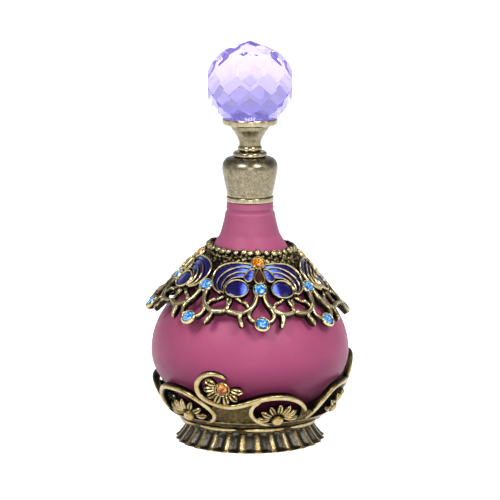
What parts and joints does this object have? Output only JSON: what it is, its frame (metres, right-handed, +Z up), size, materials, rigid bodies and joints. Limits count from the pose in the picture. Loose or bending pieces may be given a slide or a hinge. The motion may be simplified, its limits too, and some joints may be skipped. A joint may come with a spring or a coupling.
{
  "type": "perfume bottle",
  "caption": "Round frosted glass perfume bottle with a jewelled butterfly collar, an openwork footed cup and a faceted ball stopper with a dabber rod.",
  "frame": {"origin": "centre of the foot on the surface it stands on", "axes": "+Z up along the bottle's axis, towards the stopper; -Y is the front, and the front butterfly sits 8 degrees to its right; the collar leans 2.8 degrees towards +X"},
  "size_m": [0.0609, 0.0602, 0.1175],
  "materials": {
    "frosted_glass": "sandblasted plum-pink glass, satin, hardly see-through",
    "antique_casting": "cast, antiqued: worn pale gold on the high places and near-black patina in the recesses",
    "satin_brass": "fine-grained satin antique brass, darker along the edges",
    "blue_enamel": "glossy translucent epoxy enamel, pale blue by the body to navy at the wing tips",
    "brown_enamel": "glossy dark brown epoxy enamel",
    "amber_stone": "foil-backed cut glass, amber",
    "blue_stone": "foil-backed cut glass, light sapphire",
    "lilac_crystal": "clear lilac cut crystal, polished facets",
    "steel": "plain threaded steel",
    "plug_plastic": "translucent white moulded plastic",
    "seal_plastic": "soft off-white seal",
    "clear_glass": "clear drawn glass rod"
  },
  "bodies": {
    "bottle": {"glass_bottle": "frosted_glass", "neck_ferrule": "satin_brass", "collar_casting": "antique_casting", "gallery_cup": "antique_casting", "fluted_foot": "antique_casting", "wing_enamel_1": "blue_enamel", "wing_enamel_2": "blue_enamel", "wing_enamel_3": "blue_enamel", "wing_enamel_4": "blue_enamel", "body_enamel_1": "brown_enamel", "body_enamel_2": "brown_enamel", "body_enamel_3": "brown_enamel", "body_enamel_4": "brown_enamel", "head_stone_1": "amber_stone", "head_stone_2": "amber_stone", "head_stone_3": "amber_stone", "head_stone_4": "amber_stone", "upper_stone_1": "blue_stone", "upper_stone_2": "blue_stone", "upper_stone_3": "blue_stone", "upper_stone_4": "blue_stone", "upper_stone_5": "blue_stone", "upper_stone_6": "blue_stone", "upper_stone_7": "blue_stone", "upper_stone_8": "blue_stone", "drop_stone_1": "blue_stone", "drop_stone_2": "blue_stone", "drop_stone_3": "blue_stone", "drop_stone_4": "blue_stone", "drop_stone_5": "blue_stone", "drop_stone_6": "blue_stone", "drop_stone_7": "blue_stone", "drop_stone_8": "blue_stone", "scroll_stone_1": "amber_stone", "scroll_stone_2": "amber_stone", "scroll_stone_3": "amber_stone"},
    "stopper": {"crystal_ball": "lilac_crystal", "ball_seat": "satin_brass", "stopper_stem": "satin_brass", "bead_ring": "satin_brass", "shoulder_ring": "satin_brass", "cap_dome": "satin_brass", "stopper_stud": "steel", "stud_nut": "steel", "plug_insert": "plug_plastic", "seal_ring": "seal_plastic", "dabber_rod": "clear_glass"}
  },
  "joints": [
    {"name": "stopper_lift", "type": "slide", "parent": "bottle", "child": "stopper", "axis": [0, 0, 1], "range_m": [0, 0.05]}
  ]
}
